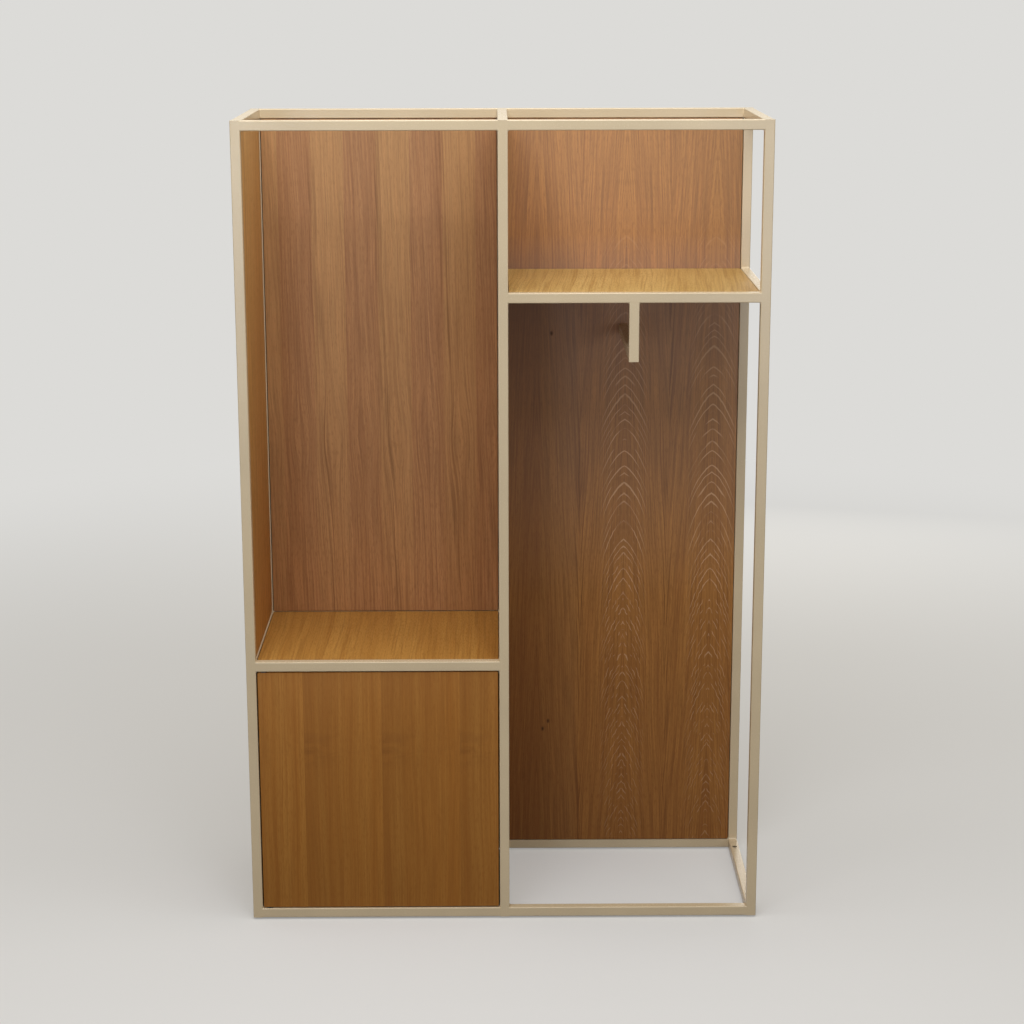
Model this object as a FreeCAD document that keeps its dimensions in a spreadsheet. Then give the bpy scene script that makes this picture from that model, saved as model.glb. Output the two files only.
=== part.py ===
import FreeCAD, Part
import math
import os
import Sketcher
from FreeCAD import Placement, Rotation, Vector

# Locker unit: a welded square-tube frame with two bays, oak panels, a pivoted door and a hanging bar.
# Millimetres. +X to the right, +Y to the back, +Z up. The origin is on the floor under the middle of the unit.

# Driving sizes: name, value and meaning. Names that end in share are plain ratios.
SIZES = (
    ("tube", 20, "side of the square frame tube"),
    ("wall", 1.5, "wall of the frame tube"),
    ("corner", 2, "outer corner radius of the frame tube"),
    ("weld_fill_share", 0.7, "part of the corner radius that the dressed weld fills at a joint"),
    ("bay_width", 500, "clear width of each bay"),
    ("depth", 400, "overall depth of the frame"),
    ("cabinet_clear", 522, "clear height of the cabinet, bottom rail to seat rail"),
    ("niche_clear", 1078, "clear height of the niche, seat rail to top rail"),
    ("hanging_clear", 1282, "clear height of the hanging space, bottom rail to shelf rail"),
    ("lift", 4, "floor to underside of the frame, the height of a foot's pad"),
    ("cap_thick", 1.5, "thickness of the plate that closes a tube end"),
    ("hanger_drop", 118, "shelf rail to underside of the hanging bar"),
    ("plug_length", 18, "length of the threaded plug in the bar's rear end"),
    ("bolt_radius", 3, "radius of the bolt that holds the bar to the back panel"),
    ("bolt_head_radius", 7, "radius of that bolt's flat head"),
    ("bolt_head", 2, "height of that bolt's flat head"),
    ("bolt_bite", 14, "length of that bolt inside the plug"),
    ("panel_thick", 15, "thickness of the panels"),
    ("panel_gap", 1.5, "shadow gap between a panel's edge and the tube"),
    ("reveal", 2, "face of a side panel or divider behind the tube face"),
    ("back_stand", 1.5, "face of a back panel in front of the tube face"),
    ("shelf_back_gap", 1, "shelf's rear edge to the back panel"),
    ("strip_thick", 2, "thickness of the strip that a panel is screwed to"),
    ("strip_width", 18, "width of that strip from the tube"),
    ("door_thick", 18, "thickness of the door"),
    ("door_gap", 2.5, "gap round the door"),
    ("door_recess", 3, "door face behind the tube face"),
    ("pivot_inset", 15, "post to the door's pivot axis"),
    ("pivot_radius", 4, "radius of a pivot pin"),
    ("pivot_depth", 25, "length of a pivot pin inside the door"),
    ("bush_radius", 6, "radius of a pivot bush in its rail"),
    ("bush_length", 8, "length of a pivot bush below its flange"),
    ("flange_radius", 7.5, "radius of a bush's flange"),
    ("running_gap", 0.05, "radial clearance of a turning or sliding fit"),
    ("thrust_gap", 0.1, "bush's flange to the door, and plunger to strike plate"),
    ("latch_inset", 32, "door's free edge to the latch axis"),
    ("latch_length", 62, "length of the latch housing"),
    ("latch_flange", 3, "thickness of the latch housing's flange"),
    ("latch_flange_width", 30, "width of the latch housing's flange"),
    ("latch_barrel_radius", 7, "radius of the latch housing's barrel"),
    ("latch_axis_drop", 18, "flange's top to the plunger's axis"),
    ("plunger_radius", 4, "radius of the latch plunger"),
    ("plunger_length", 50, "length of the latch plunger"),
    ("plunger_nose", 5, "length of the plunger that stands out of its housing with the door shut"),
    ("plunger_tip", 1, "chamfer of the plunger's tip"),
    ("strike_radius", 8, "radius of the strike plate on the door"),
    ("strike_thick", 1, "thickness of the strike plate"),
    ("foot_inset", 46, "post to the axis of a foot"),
    ("key_hole_radius", 5.5, "radius of the hole above a foot for its key"),
    ("stud_radius", 4, "radius of a foot's stud"),
    ("stud_length", 17, "length of a foot's stud above its pad"),
    ("stud_clearance", 0.4, "radial clearance of the hole in the rail round a stud"),
    ("pad_radius", 9, "radius of a foot's pad"),
    ("socket_flats", 4, "width across flats of the key socket in a stud"),
    ("socket_depth", 5, "depth of that socket"),
    ("nut_flats", 13, "width across flats of the nut inside the rail"),
    ("nut_height", 6.5, "height of that nut"),
)

# Places worked out from the sizes. A post or rail is placed by its lowest corner.
X_LEFT = "(-Size.bay_width - 3 * Size.tube / 2)"
X_MIDDLE = "(-Size.tube / 2)"
X_RIGHT = "(Size.bay_width + Size.tube / 2)"
Y_FRONT = "(-Size.depth / 2)"
Y_REAR = "(Size.depth / 2 - Size.tube)"
Z_BASE = "Size.lift"
Z_SEAT = "(Size.lift + Size.tube + Size.cabinet_clear)"
Z_SHELF = "(Size.lift + Size.tube + Size.hanging_clear)"
Z_TOP = "(Size.lift + 2 * Size.tube + Size.cabinet_clear + Size.niche_clear)"
FRAME_HEIGHT = "(3 * Size.tube + Size.cabinet_clear + Size.niche_clear)"
UPPER_CLEAR = "(Size.cabinet_clear + Size.niche_clear - Size.hanging_clear)"
SIDE_SPAN = "(Size.depth - 2 * Size.tube)"
FILL = "(Size.weld_fill_share * Size.corner)"
X_DROP = "(Size.bay_width / 2)"

# Turns of a piece's own axes. Each comment says where its X, Y and Z axes then point.
UPRIGHT = Rotation()
ALONG_X = Rotation(Vector(1, 1, 1), 120)  # to the back, up, to the right
ALONG_Y = Rotation(Vector(0, 1, 1), 180)  # to the left, up, to the back
DOWNWARD = Rotation(Vector(1, 1, 0), 180)  # to the back, to the right, down
FACING_FRONT = Rotation(Vector(1, 0, 0), 90)  # to the right, up, to the front
FACING_RIGHT = ALONG_X
FACING_LEFT = Rotation(Vector(1, -1, -1), 120)  # to the front, up, to the left
OVERTURNED = Rotation(Vector(1, 0, 0), 180)  # to the right, to the front, down

doc = FreeCAD.newDocument("LockerUnit")
sheet = doc.addObject("Spreadsheet::Sheet", "Size")
for row, (name, size, meaning) in enumerate(SIZES, start=1):
    sheet.set(f"A{row}", meaning)
    sheet.set(f"B{row}", str(size))
    sheet.setAlias(f"B{row}", name)
doc.recompute()

nodes = []


def value(expression):
    """The number that an expression of named sizes gives now."""
    return float(sheet.evalExpression(expression))


def spot(x, y, z):
    """A point from three expressions."""
    return Vector(value(x), value(y), value(z))


def place(item, x, y, z, turn=UPRIGHT):
    """Puts a piece's own origin at a point that follows the sizes."""
    item.Placement = Placement(spot(x, y, z), turn)
    for axis, expression in zip("xyz", (x, y, z)):
        item.setExpression(f"Placement.Base.{axis}", expression)


def new_body(label):
    """An empty body that becomes a sub-part."""
    body = doc.addObject("PartDesign::Body", label)
    body.Label = label
    nodes.append(body)
    return body


def sketch_on(body, role, name, rise=None):
    """A sketch on one of the body's own planes, moved along the plane's normal by rise."""
    sketch = body.newObject("Sketcher::SketchObject", name)
    plane = next(item for item in body.Origin.OriginFeatures if item.Role == role)
    sketch.AttachmentSupport = (plane, [""])
    sketch.MapMode = "FlatFace"
    if rise:
        sketch.setExpression("AttachmentOffset.Base.z", rise)
    return sketch


def hold(sketch, expression, *constraint):
    """Adds a measured constraint that follows an expression."""
    index = sketch.addConstraint(Sketcher.Constraint(*constraint, value(expression)))
    sketch.setExpression(f"Constraints[{index}]", expression)


def outline(sketch, points):
    """A closed outline of straight sides through points given as expressions."""
    spots = [Vector(value(x), value(y), 0) for x, y in points]
    sides = zip(spots, spots[1:] + spots[:1])
    lines = [sketch.addGeometry(Part.LineSegment(start, end)) for start, end in sides]
    for line, after in zip(lines, lines[1:] + lines[:1]):
        sketch.addConstraint(Sketcher.Constraint("Coincident", line, 2, after, 1))
    for line, (x, y) in zip(lines, points):
        hold(sketch, x, "DistanceX", -1, 1, line, 1)
        hold(sketch, y, "DistanceY", -1, 1, line, 1)


def box_outline(sketch, left, low, width, height):
    """A plain rectangle."""
    right = f"{left} + {width}"
    high = f"{low} + {height}"
    outline(sketch, ((left, low), (right, low), (right, high), (left, high)))


def rounded_outline(sketch, left, low, width, height, radius):
    """A rectangle with four equal rounded corners."""
    x, y, w, h, r = (value(expression) for expression in (left, low, width, height, radius))
    spots = [Vector(x, y, 0), Vector(x + w, y, 0), Vector(x + w, y + h, 0), Vector(x, y + h, 0)]
    ends = spots[1:] + spots[:1]
    ways = [(end - start).normalize() for start, end in zip(spots, ends)]
    lines = []
    arcs = []
    for start, end, way in zip(spots, ends, ways):
        lines.append(sketch.addGeometry(Part.LineSegment(start + way * r, end - way * r)))
    for index, (end, way) in enumerate(zip(ends, ways)):
        centre = end - way * r + ways[(index + 1) % 4] * r
        circle = Part.Circle(centre, Vector(0, 0, 1), r)
        begin = (index - 1) * math.pi / 2
        arcs.append(sketch.addGeometry(Part.ArcOfCircle(circle, begin, begin + math.pi / 2)))
    for index, arc in enumerate(arcs):
        sketch.addConstraint(Sketcher.Constraint("Tangent", lines[index], 2, arc, 1))
        sketch.addConstraint(Sketcher.Constraint("Tangent", arc, 2, lines[(index + 1) % 4], 1))
    for arc in arcs[1:]:
        sketch.addConstraint(Sketcher.Constraint("Equal", arcs[0], arc))
    for level, upright in ((lines[0], lines[1]), (lines[2], lines[3])):
        sketch.addConstraint(Sketcher.Constraint("Horizontal", level))
        sketch.addConstraint(Sketcher.Constraint("Vertical", upright))
    hold(sketch, radius, "Radius", arcs[0])
    hold(sketch, left, "DistanceX", -1, 1, lines[3], 1)
    hold(sketch, low, "DistanceY", -1, 1, lines[0], 1)
    hold(sketch, width, "DistanceX", lines[3], 1, lines[1], 1)
    hold(sketch, height, "DistanceY", lines[0], 1, lines[2], 1)


def round_outline(sketch, x, y, radius):
    """A full circle."""
    circle = Part.Circle(Vector(value(x), value(y), 0), Vector(0, 0, 1), value(radius))
    index = sketch.addGeometry(circle)
    hold(sketch, x, "DistanceX", -1, 1, index, 3)
    hold(sketch, y, "DistanceY", -1, 1, index, 3)
    hold(sketch, radius, "Radius", index)


def hexagon_outline(sketch, flats):
    """A hexagon about the sketch's origin, given its width across flats."""
    reach = f"{flats} / (2 * cos(30 deg))"
    turns = [f"{60 * corner} deg" for corner in range(6)]
    outline(sketch, [(f"{reach} * cos({turn})", f"{reach} * sin({turn})") for turn in turns])


def pad(body, sketch, length):
    """Raises a sketch along its normal."""
    feature = body.newObject("PartDesign::Pad", f"{body.Name}_pad")
    feature.Profile = sketch
    feature.setExpression("Length", length)
    doc.recompute()


def pocket(body, sketch, length=None, towards_normal=False):
    """Cuts a sketch into the body, right through if no length is given, and checks that it cut."""
    before = body.Shape.Volume
    feature = body.newObject("PartDesign::Pocket", f"{body.Name}_pocket")
    feature.Profile = sketch
    feature.Reversed = towards_normal
    if length:
        feature.setExpression("Length", length)
    else:
        feature.Type = "ThroughAll"
        feature.SideType = "Symmetric"
    doc.recompute()
    if not body.Shape.Volume < before:
        raise RuntimeError(f"{body.Label}: a pocket cut nothing")


def turned(label, profile):
    """A body turned about its own Z axis from a half profile of radius and height."""
    body = new_body(label)
    sketch = sketch_on(body, "XZ_Plane", f"{label}_profile")
    outline(sketch, profile)
    feature = body.newObject("PartDesign::Revolution", f"{label}_turned")
    feature.Profile = sketch
    feature.ReferenceAxis = (sketch, ["V_Axis"])
    feature.Angle = 360
    doc.recompute()
    return body


def pattern(body):
    """Takes a body off the list of sub-parts: its copies are placed in a group instead."""
    nodes.remove(body)
    return body


def group(label, shape, places):
    """Identical pieces at several places, as one sub-part of separate solids."""
    item = doc.addObject("Part::Feature", label)
    item.Label = label
    copies = []
    for where in places:
        copy = shape.copy()
        copy.Placement = where
        copies.append(copy)
    item.Shape = Part.makeCompound(copies)
    item.Placement = Placement()
    nodes.append(item)


def tube_section(body, rise=None):
    """The section of the frame tube, its corner on the body's Z axis."""
    sketch = sketch_on(body, "XY_Plane", f"{body.Name}_section", rise)
    rounded_outline(sketch, "0", "0", "Size.tube", "Size.tube", "Size.corner")
    inner = "(Size.tube - 2 * Size.wall)"
    box_outline(sketch, "Size.wall", "Size.wall", inner, inner)
    return sketch


def post(label, x, y):
    """A full-height post."""
    body = new_body(label)
    pad(body, tube_section(body), FRAME_HEIGHT)
    place(body, x, y, Z_BASE)


def rail(label, x, y, z, turn, span, far_end=True, shared=None):
    """A tube that runs from one tube to another, or to a free far end.

    Its own Z axis starts at the outer face of the tube that it leaves. Each welded end is cut to that tube's
    outline and reaches a little round its corners, as the dressed weld does. Where another rail shares a corner
    of the post, the part of the width given by shared leaves the weld there to that rail.
    """
    body = new_body(label)
    ends = ("0", f"Size.tube + {span}") if far_end else ("0",)
    pad(body, tube_section(body, f"Size.tube - {FILL}"), f"{span} + {len(ends)} * {FILL}")
    cope = sketch_on(body, "XZ_Plane", f"{label}_cope")
    for low in ends:
        rounded_outline(cope, "0", low, "Size.tube", "Size.tube", "Size.corner")
    pocket(body, cope)
    if shared:
        trim = sketch_on(body, "XZ_Plane", f"{label}_trim")
        for low in ends:
            box_outline(trim, shared[0], low, shared[1], "Size.tube")
        pocket(body, trim)
    place(body, x, y, z, turn)
    return body


def drill(body, along, radius, upper):
    """A round hole through the upper or the lower wall of a level rail, at a distance along it."""
    name = f"{body.Name}_{'upper' if upper else 'lower'}_hole"
    sketch = sketch_on(body, "XZ_Plane", name, "-Size.tube / 2" if upper else None)
    for distance in along:
        round_outline(sketch, "Size.tube / 2", distance, radius)
    pocket(body, sketch, "Size.tube / 2")


# Frame posts
columns = {"left": X_LEFT, "middle": X_MIDDLE, "right": X_RIGHT}
rows = {"front": Y_FRONT, "rear": Y_REAR}
for row_name, y in rows.items():
    for column_name, x in columns.items():
        post(f"post_{row_name}_{column_name}", x, y)

# Top and bottom rings. Parts of a side rail's width, from the right: where its posts hold other rails.
RIGHT_HALF = ("0", "Size.tube / 2")
LEFT_HALF = ("Size.tube / 2", "Size.tube / 2")
BOTH_HALVES = ("0", "Size.tube")
bays = {"left": X_LEFT, "right": X_MIDDLE}
ring_shares = {"left": RIGHT_HALF, "middle": BOTH_HALVES, "right": LEFT_HALF}


def side_rail(label, x, z, shared):
    """A rail from a front post to the rear post behind it."""
    rail(label, f"{x} + Size.tube", Y_FRONT, z, ALONG_Y, SIDE_SPAN, shared=shared)


for level_name, z in (("top", Z_TOP), ("bottom", Z_BASE)):
    for row_name, y in rows.items():
        for bay_name, x in bays.items():
            rail(f"{level_name}_{row_name}_rail_{bay_name}", x, y, z, ALONG_X, "Size.bay_width")
    for column_name, x in columns.items():
        side_rail(f"{level_name}_side_rail_{column_name}", x, z, ring_shares[column_name])

# Seat ring of the left bay and the three rails that carry the shelf of the right bay
rail("seat_front_rail", X_LEFT, Y_FRONT, Z_SEAT, ALONG_X, "Size.bay_width")
rail("seat_rear_rail", X_LEFT, Y_REAR, Z_SEAT, ALONG_X, "Size.bay_width")
side_rail("seat_side_rail_left", X_LEFT, Z_SEAT, RIGHT_HALF)
side_rail("seat_side_rail_middle", X_MIDDLE, Z_SEAT, LEFT_HALF)
rail("shelf_front_rail", X_MIDDLE, Y_FRONT, Z_SHELF, ALONG_X, "Size.bay_width")
side_rail("shelf_side_rail_middle", X_MIDDLE, Z_SHELF, RIGHT_HALF)
side_rail("shelf_side_rail_right", X_RIGHT, Z_SHELF, LEFT_HALF)

# Hanger: a drop under the middle of the shelf's front rail, and a bar from there to the back panel
BAR_SPAN = f"({SIDE_SPAN} - Size.back_stand)"
Z_BAR = f"({Z_SHELF} - Size.hanger_drop)"
Z_RAIL_TOP = f"({Z_SHELF} + Size.tube)"
rail("hanger_drop", X_DROP, Y_FRONT, Z_RAIL_TOP, DOWNWARD, "Size.hanger_drop", far_end=False)
rail("hanger_bar", f"{X_DROP} + Size.tube", Y_FRONT, Z_BAR, ALONG_Y, BAR_SPAN, far_end=False)

BORE = "(Size.tube - 2 * Size.wall)"
X_BAR_AXIS = f"{X_DROP} + Size.tube / 2"
Z_BAR_AXIS = f"{Z_BAR} + Size.tube / 2"
Y_PANEL_FACE = f"({Y_REAR} - Size.back_stand)"
plug = new_body("hanger_plug")
plug_sketch = sketch_on(plug, "XY_Plane", "plug_section")
box_outline(plug_sketch, f"-{BORE} / 2", f"-{BORE} / 2", BORE, BORE)
round_outline(plug_sketch, "0", "0", "Size.bolt_radius")
pad(plug, plug_sketch, "Size.plug_length")
place(plug, X_BAR_AXIS, Y_PANEL_FACE, Z_BAR_AXIS, FACING_FRONT)

bolt_end = "(Size.bolt_head + Size.panel_thick + Size.bolt_bite)"
bolt = turned("hanger_bolt", (
    ("0", "0"), ("Size.bolt_head_radius", "0"), ("Size.bolt_head_radius", "Size.bolt_head"),
    ("Size.bolt_radius", "Size.bolt_head"), ("Size.bolt_radius", bolt_end), ("0", bolt_end)))
Y_BOLT = f"{Y_PANEL_FACE} + Size.panel_thick + Size.bolt_head"
place(bolt, X_BAR_AXIS, Y_BOLT, Z_BAR_AXIS, FACING_FRONT)

# Plates that close the posts and the foot of the hanger's drop
cap = pattern(new_body("tube_cap"))
cap_sketch = sketch_on(cap, "XY_Plane", "cap_outline")
box_outline(cap_sketch, "Size.wall", "Size.wall", BORE, BORE)
pad(cap, cap_sketch, "Size.cap_thick")
cap_places = [Placement(spot(X_DROP, Y_FRONT, Z_BAR), UPRIGHT)]
for x in columns.values():
    for y in rows.values():
        for z in (Z_BASE, f"{Z_BASE} + {FRAME_HEIGHT} - Size.cap_thick"):
            cap_places.append(Placement(spot(x, y, z), UPRIGHT))
group("tube_end_caps", cap.Shape, cap_places)


def panel(label, x, y, z, turn, width, length, framed=True):
    """A panel, its own Z axis pointing away from the strip that it is screwed to.

    A framed panel's strip runs all round it, welded inside its four tubes, and closes the gap behind its edges.
    """
    body = new_body(label)
    sketch = sketch_on(body, "XY_Plane", f"{label}_outline")
    box_outline(sketch, "0", "0", width, length)
    pad(body, sketch, "Size.panel_thick")
    place(body, x, y, z, turn)
    if framed:
        strip = new_body(f"{label}_strip")
        ring = sketch_on(strip, "XY_Plane", f"{label}_strip_outline", "-Size.strip_thick")
        for inset in ("0", "Size.strip_width"):
            low = f"({inset} - Size.panel_gap)"
            spare = f"2 * (Size.panel_gap - {inset})"
            box_outline(ring, low, low, f"({width} + {spare})", f"({length} + {spare})")
        pad(strip, ring, "Size.strip_thick")
        place(strip, x, y, z, turn)
    return body


# Panels in the back plane, their strips behind them
ACROSS = "(Size.bay_width - 2 * Size.panel_gap)"
Y_BACK = f"{Y_PANEL_FACE} + Size.panel_thick"
X_LEFT_BAY = f"{X_LEFT} + Size.tube + Size.panel_gap"
X_RIGHT_BAY = f"{X_MIDDLE} + Size.tube + Size.panel_gap"
Z_FIRST = f"{Z_BASE} + Size.tube + Size.panel_gap"
Z_OVER_SEAT = f"{Z_SEAT} + Size.tube + Size.panel_gap"
Z_OVER_SHELF = f"{Z_SHELF} + Size.tube + Size.panel_gap"
CABINET_PANEL = "(Size.cabinet_clear - 2 * Size.panel_gap)"
NICHE_PANEL = "(Size.niche_clear - 2 * Size.panel_gap)"
TALL_PANEL = "(Size.cabinet_clear + Size.tube + Size.niche_clear - 2 * Size.panel_gap)"
MIDDLE_PANEL = f"({Z_SHELF} - {Z_SEAT} - Size.tube - 2 * Size.panel_gap)"
UPPER_PANEL = f"({UPPER_CLEAR} - 2 * Size.panel_gap)"
panel("niche_back_panel", X_LEFT_BAY, Y_BACK, Z_OVER_SEAT, FACING_FRONT, ACROSS, NICHE_PANEL)
panel("cabinet_back_panel", X_LEFT_BAY, Y_BACK, Z_FIRST, FACING_FRONT, ACROSS, CABINET_PANEL)
right_back = panel("right_back_panel", X_RIGHT_BAY, Y_BACK, Z_FIRST, FACING_FRONT, ACROSS, TALL_PANEL)
bolt_hole = sketch_on(right_back, "XY_Plane", "right_back_bolt_hole")
round_outline(bolt_hole, f"{ACROSS} / 2", f"{Z_BAR_AXIS} - ({Z_FIRST})", "Size.bolt_radius")
pocket(right_back, bolt_hole)

# Side panels, their strips outside
ALONG = f"({SIDE_SPAN} - 2 * Size.panel_gap)"
Y_PANEL_FRONT = f"{Y_FRONT} + Size.tube + Size.panel_gap"
X_SIDE = f"{X_LEFT} + Size.tube - Size.reveal - Size.panel_thick"
panel("side_panel_upper", X_SIDE, Y_PANEL_FRONT, Z_OVER_SEAT, FACING_RIGHT, ALONG, NICHE_PANEL)
panel("side_panel_lower", X_SIDE, Y_PANEL_FRONT, Z_FIRST, FACING_RIGHT, ALONG, CABINET_PANEL)

# Divider, its strips inside the cabinet below and on the hanging side above
X_DIVIDER_LOW = f"{X_MIDDLE} + Size.tube - Size.reveal - Size.panel_thick"
X_DIVIDER = f"{X_MIDDLE} + Size.reveal + Size.panel_thick"
Y_PANEL_REAR = f"{Y_REAR} - Size.panel_gap"
panel("divider_lower", X_DIVIDER_LOW, Y_PANEL_FRONT, Z_FIRST, FACING_RIGHT, ALONG, CABINET_PANEL)
panel("divider_middle", X_DIVIDER, Y_PANEL_REAR, Z_OVER_SEAT, FACING_LEFT, ALONG, MIDDLE_PANEL)
panel("divider_upper", X_DIVIDER, Y_PANEL_REAR, Z_OVER_SHELF, FACING_LEFT, ALONG, UPPER_PANEL)

# Level panels, flush with the tops of their rails, each on two strips that are welded to its side rails
UNDER_TOP = "Size.tube - Size.panel_thick"
SHELF_DEPTH = f"({SIDE_SPAN} - Size.panel_gap - Size.back_stand - Size.shelf_back_gap)"
level_strip = pattern(new_body("level_strip"))
strip_sketch = sketch_on(level_strip, "XY_Plane", "level_strip_outline")
box_outline(strip_sketch, "0", "0", "Size.strip_width", f"({SIDE_SPAN} - Size.tube)")
pad(level_strip, strip_sketch, "Size.strip_thick")
strip_places = []
for label, x, z, length in (
        ("cabinet_floor", X_LEFT_BAY, Z_BASE, ALONG), ("seat_panel", X_LEFT_BAY, Z_SEAT, ALONG),
        ("shelf_panel", X_RIGHT_BAY, Z_SHELF, SHELF_DEPTH)):
    underside = f"{z} + {UNDER_TOP}"
    panel(label, x, Y_PANEL_FRONT, underside, UPRIGHT, ACROSS, length, framed=False)
    for side in (f"{x} - Size.panel_gap", f"{x} + {ACROSS} + Size.panel_gap - Size.strip_width"):
        where = spot(side, f"{Y_FRONT} + Size.tube", f"{underside} - Size.strip_thick")
        strip_places.append(Placement(where, UPRIGHT))
group("level_strips", level_strip.Shape, strip_places)

# Door, its own X axis across it and its Z axis up
X_DOOR = f"({X_LEFT} + Size.tube + Size.door_gap)"
Y_DOOR = f"({Y_FRONT} + Size.door_recess)"
Z_DOOR = f"({Z_BASE} + Size.tube + Size.door_gap)"
DOOR_WIDTH = "(Size.bay_width - 2 * Size.door_gap)"
DOOR_HEIGHT = "(Size.cabinet_clear - 2 * Size.door_gap)"
PIVOT_X = "(Size.pivot_inset - Size.door_gap)"
PIVOT_Y = "(Size.tube / 2 - Size.door_recess)"
door = new_body("door_panel")
door_sketch = sketch_on(door, "XY_Plane", "door_outline")
box_outline(door_sketch, "0", "0", DOOR_WIDTH, "Size.door_thick")
pad(door, door_sketch, DOOR_HEIGHT)
for end_name, rise, inward in (("low", None, True), ("high", DOOR_HEIGHT, False)):
    socket = sketch_on(door, "XY_Plane", f"door_{end_name}_socket", rise)
    round_outline(socket, PIVOT_X, PIVOT_Y, "Size.pivot_radius")
    pocket(door, socket, "Size.pivot_depth", towards_normal=inward)
place(door, X_DOOR, Y_DOOR, Z_DOOR)

# Door pivots: a pin in the door turns in a bush in the rail, whose flange fills the gap and bears the door
FLANGE = "(Size.door_gap - Size.thrust_gap)"
BUSH_BORE = "(Size.pivot_radius + Size.running_gap)"
X_PIVOT = f"{X_LEFT} + Size.tube + Size.pivot_inset"
Y_PIVOT = f"{Y_FRONT} + Size.tube / 2"
pivot_ends = {
    "bottom": (f"{Z_BASE} + Size.tube", UPRIGHT),
    "top": (Z_SEAT, OVERTURNED),
}
for end_name, (z, turn) in pivot_ends.items():
    bush = turned(f"pivot_bush_{end_name}", (
        (BUSH_BORE, "-Size.bush_length"), ("Size.bush_radius", "-Size.bush_length"), ("Size.bush_radius", "0"),
        ("Size.flange_radius", "0"), ("Size.flange_radius", FLANGE), (BUSH_BORE, FLANGE)))
    place(bush, X_PIVOT, Y_PIVOT, z, turn)
    pin_high = "Size.door_gap + Size.pivot_depth"
    pin = turned(f"pivot_pin_{end_name}", (
        ("0", "-Size.bush_length"), ("Size.pivot_radius", "-Size.bush_length"),
        ("Size.pivot_radius", pin_high), ("0", pin_high)))
    place(pin, X_PIVOT, Y_PIVOT, z, turn)
for rail_label, upper in (("bottom_front_rail_left", True), ("seat_front_rail", False)):
    carrier = doc.getObject(rail_label)
    drill(carrier, ("Size.tube + Size.pivot_inset",), "Size.bush_radius", upper)

# Push latch: a flanged housing under the seat, its plunger, and a strike plate on the door's back
X_LATCH = f"{X_MIDDLE} - Size.door_gap - Size.latch_inset"
Y_STRIKE = f"{Y_DOOR} + Size.door_thick"
Y_NOSE = f"{Y_STRIKE} + Size.strike_thick + Size.thrust_gap"
Z_LATCH_TOP = f"({Z_SEAT} + {UNDER_TOP})"
Z_LATCH = f"{Z_LATCH_TOP} - Size.latch_axis_drop"
PLUNGER_BORE = "(Size.plunger_radius + Size.running_gap)"
housing = new_body("latch_housing")
# The housing's own Z axis runs to the front, along the plunger, and its Y axis up.
flange_low = "Size.latch_axis_drop - Size.latch_flange"
half_flange = "Size.latch_flange_width / 2"
section = sketch_on(housing, "XY_Plane", "latch_section")
outline(section, (
    ("Size.latch_barrel_radius", "0"), ("Size.latch_barrel_radius", flange_low), (half_flange, flange_low),
    (half_flange, "Size.latch_axis_drop"), (f"-{half_flange}", "Size.latch_axis_drop"),
    (f"-{half_flange}", flange_low), ("-Size.latch_barrel_radius", flange_low),
    ("-Size.latch_barrel_radius", "0"), ("-Size.latch_barrel_radius / 2", "-Size.latch_barrel_radius"),
    ("Size.latch_barrel_radius / 2", "-Size.latch_barrel_radius")))
pad(housing, section, "Size.latch_length")
latch_bore = sketch_on(housing, "XY_Plane", "latch_bore", "Size.latch_length")
round_outline(latch_bore, "0", "0", PLUNGER_BORE)
pocket(housing, latch_bore, "Size.plunger_length")
place(housing, X_LATCH, f"{Y_NOSE} + Size.plunger_nose + Size.latch_length", Z_LATCH, FACING_FRONT)

tip_radius = "Size.plunger_radius - Size.plunger_tip"
plunger = turned("latch_plunger", (
    ("0", "0"), (tip_radius, "0"), ("Size.plunger_radius", "-Size.plunger_tip"),
    ("Size.plunger_radius", "-Size.plunger_length"), ("0", "-Size.plunger_length")))
place(plunger, X_LATCH, Y_NOSE, Z_LATCH, FACING_FRONT)

strike = turned("latch_strike", (
    ("0", "0"), ("Size.strike_radius", "0"), ("Size.strike_radius", "Size.strike_thick"),
    ("0", "Size.strike_thick")))
place(strike, X_LATCH, f"{Y_STRIKE} + Size.strike_thick", Z_LATCH, FACING_FRONT)

# Levelling feet: a pad on a stud with a key socket, and a nut inside the bottom side rail
foot_ways = ("Size.tube + Size.foot_inset", f"Size.tube + {SIDE_SPAN} - Size.foot_inset")
foot_rows = {"front": f"{Y_FRONT} + {foot_ways[0]}", "rear": f"{Y_FRONT} + {foot_ways[1]}"}
stud_top = "Size.lift + Size.stud_length"
nut_places = []
for column_name, x in columns.items():
    carrier = doc.getObject(f"bottom_side_rail_{column_name}")
    drill(carrier, foot_ways, "Size.key_hole_radius", upper=True)
    drill(carrier, foot_ways, "Size.stud_radius + Size.stud_clearance", upper=False)
    x_axis = f"{x} + Size.tube / 2"
    for row_name, y in foot_rows.items():
        foot = turned(f"foot_{row_name}_{column_name}", (
            ("0", "0"), ("Size.pad_radius", "0"), ("Size.pad_radius", "Size.lift"),
            ("Size.stud_radius", "Size.lift"), ("Size.stud_radius", stud_top), ("0", stud_top)))
        key_socket = sketch_on(foot, "XY_Plane", f"{foot.Name}_socket", stud_top)
        hexagon_outline(key_socket, "Size.socket_flats")
        pocket(foot, key_socket, "Size.socket_depth")
        place(foot, x_axis, y, "0")
        nut_places.append(Placement(spot(x_axis, y, f"{Z_BASE} + Size.wall"), UPRIGHT))
nut = pattern(new_body("foot_nut"))
nut_sketch = sketch_on(nut, "XY_Plane", "nut_outline")
hexagon_outline(nut_sketch, "Size.nut_flats")
round_outline(nut_sketch, "0", "0", "Size.stud_radius + Size.running_gap")
pad(nut, nut_sketch, "Size.nut_height")
group("foot_nuts", nut.Shape, nut_places)

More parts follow.
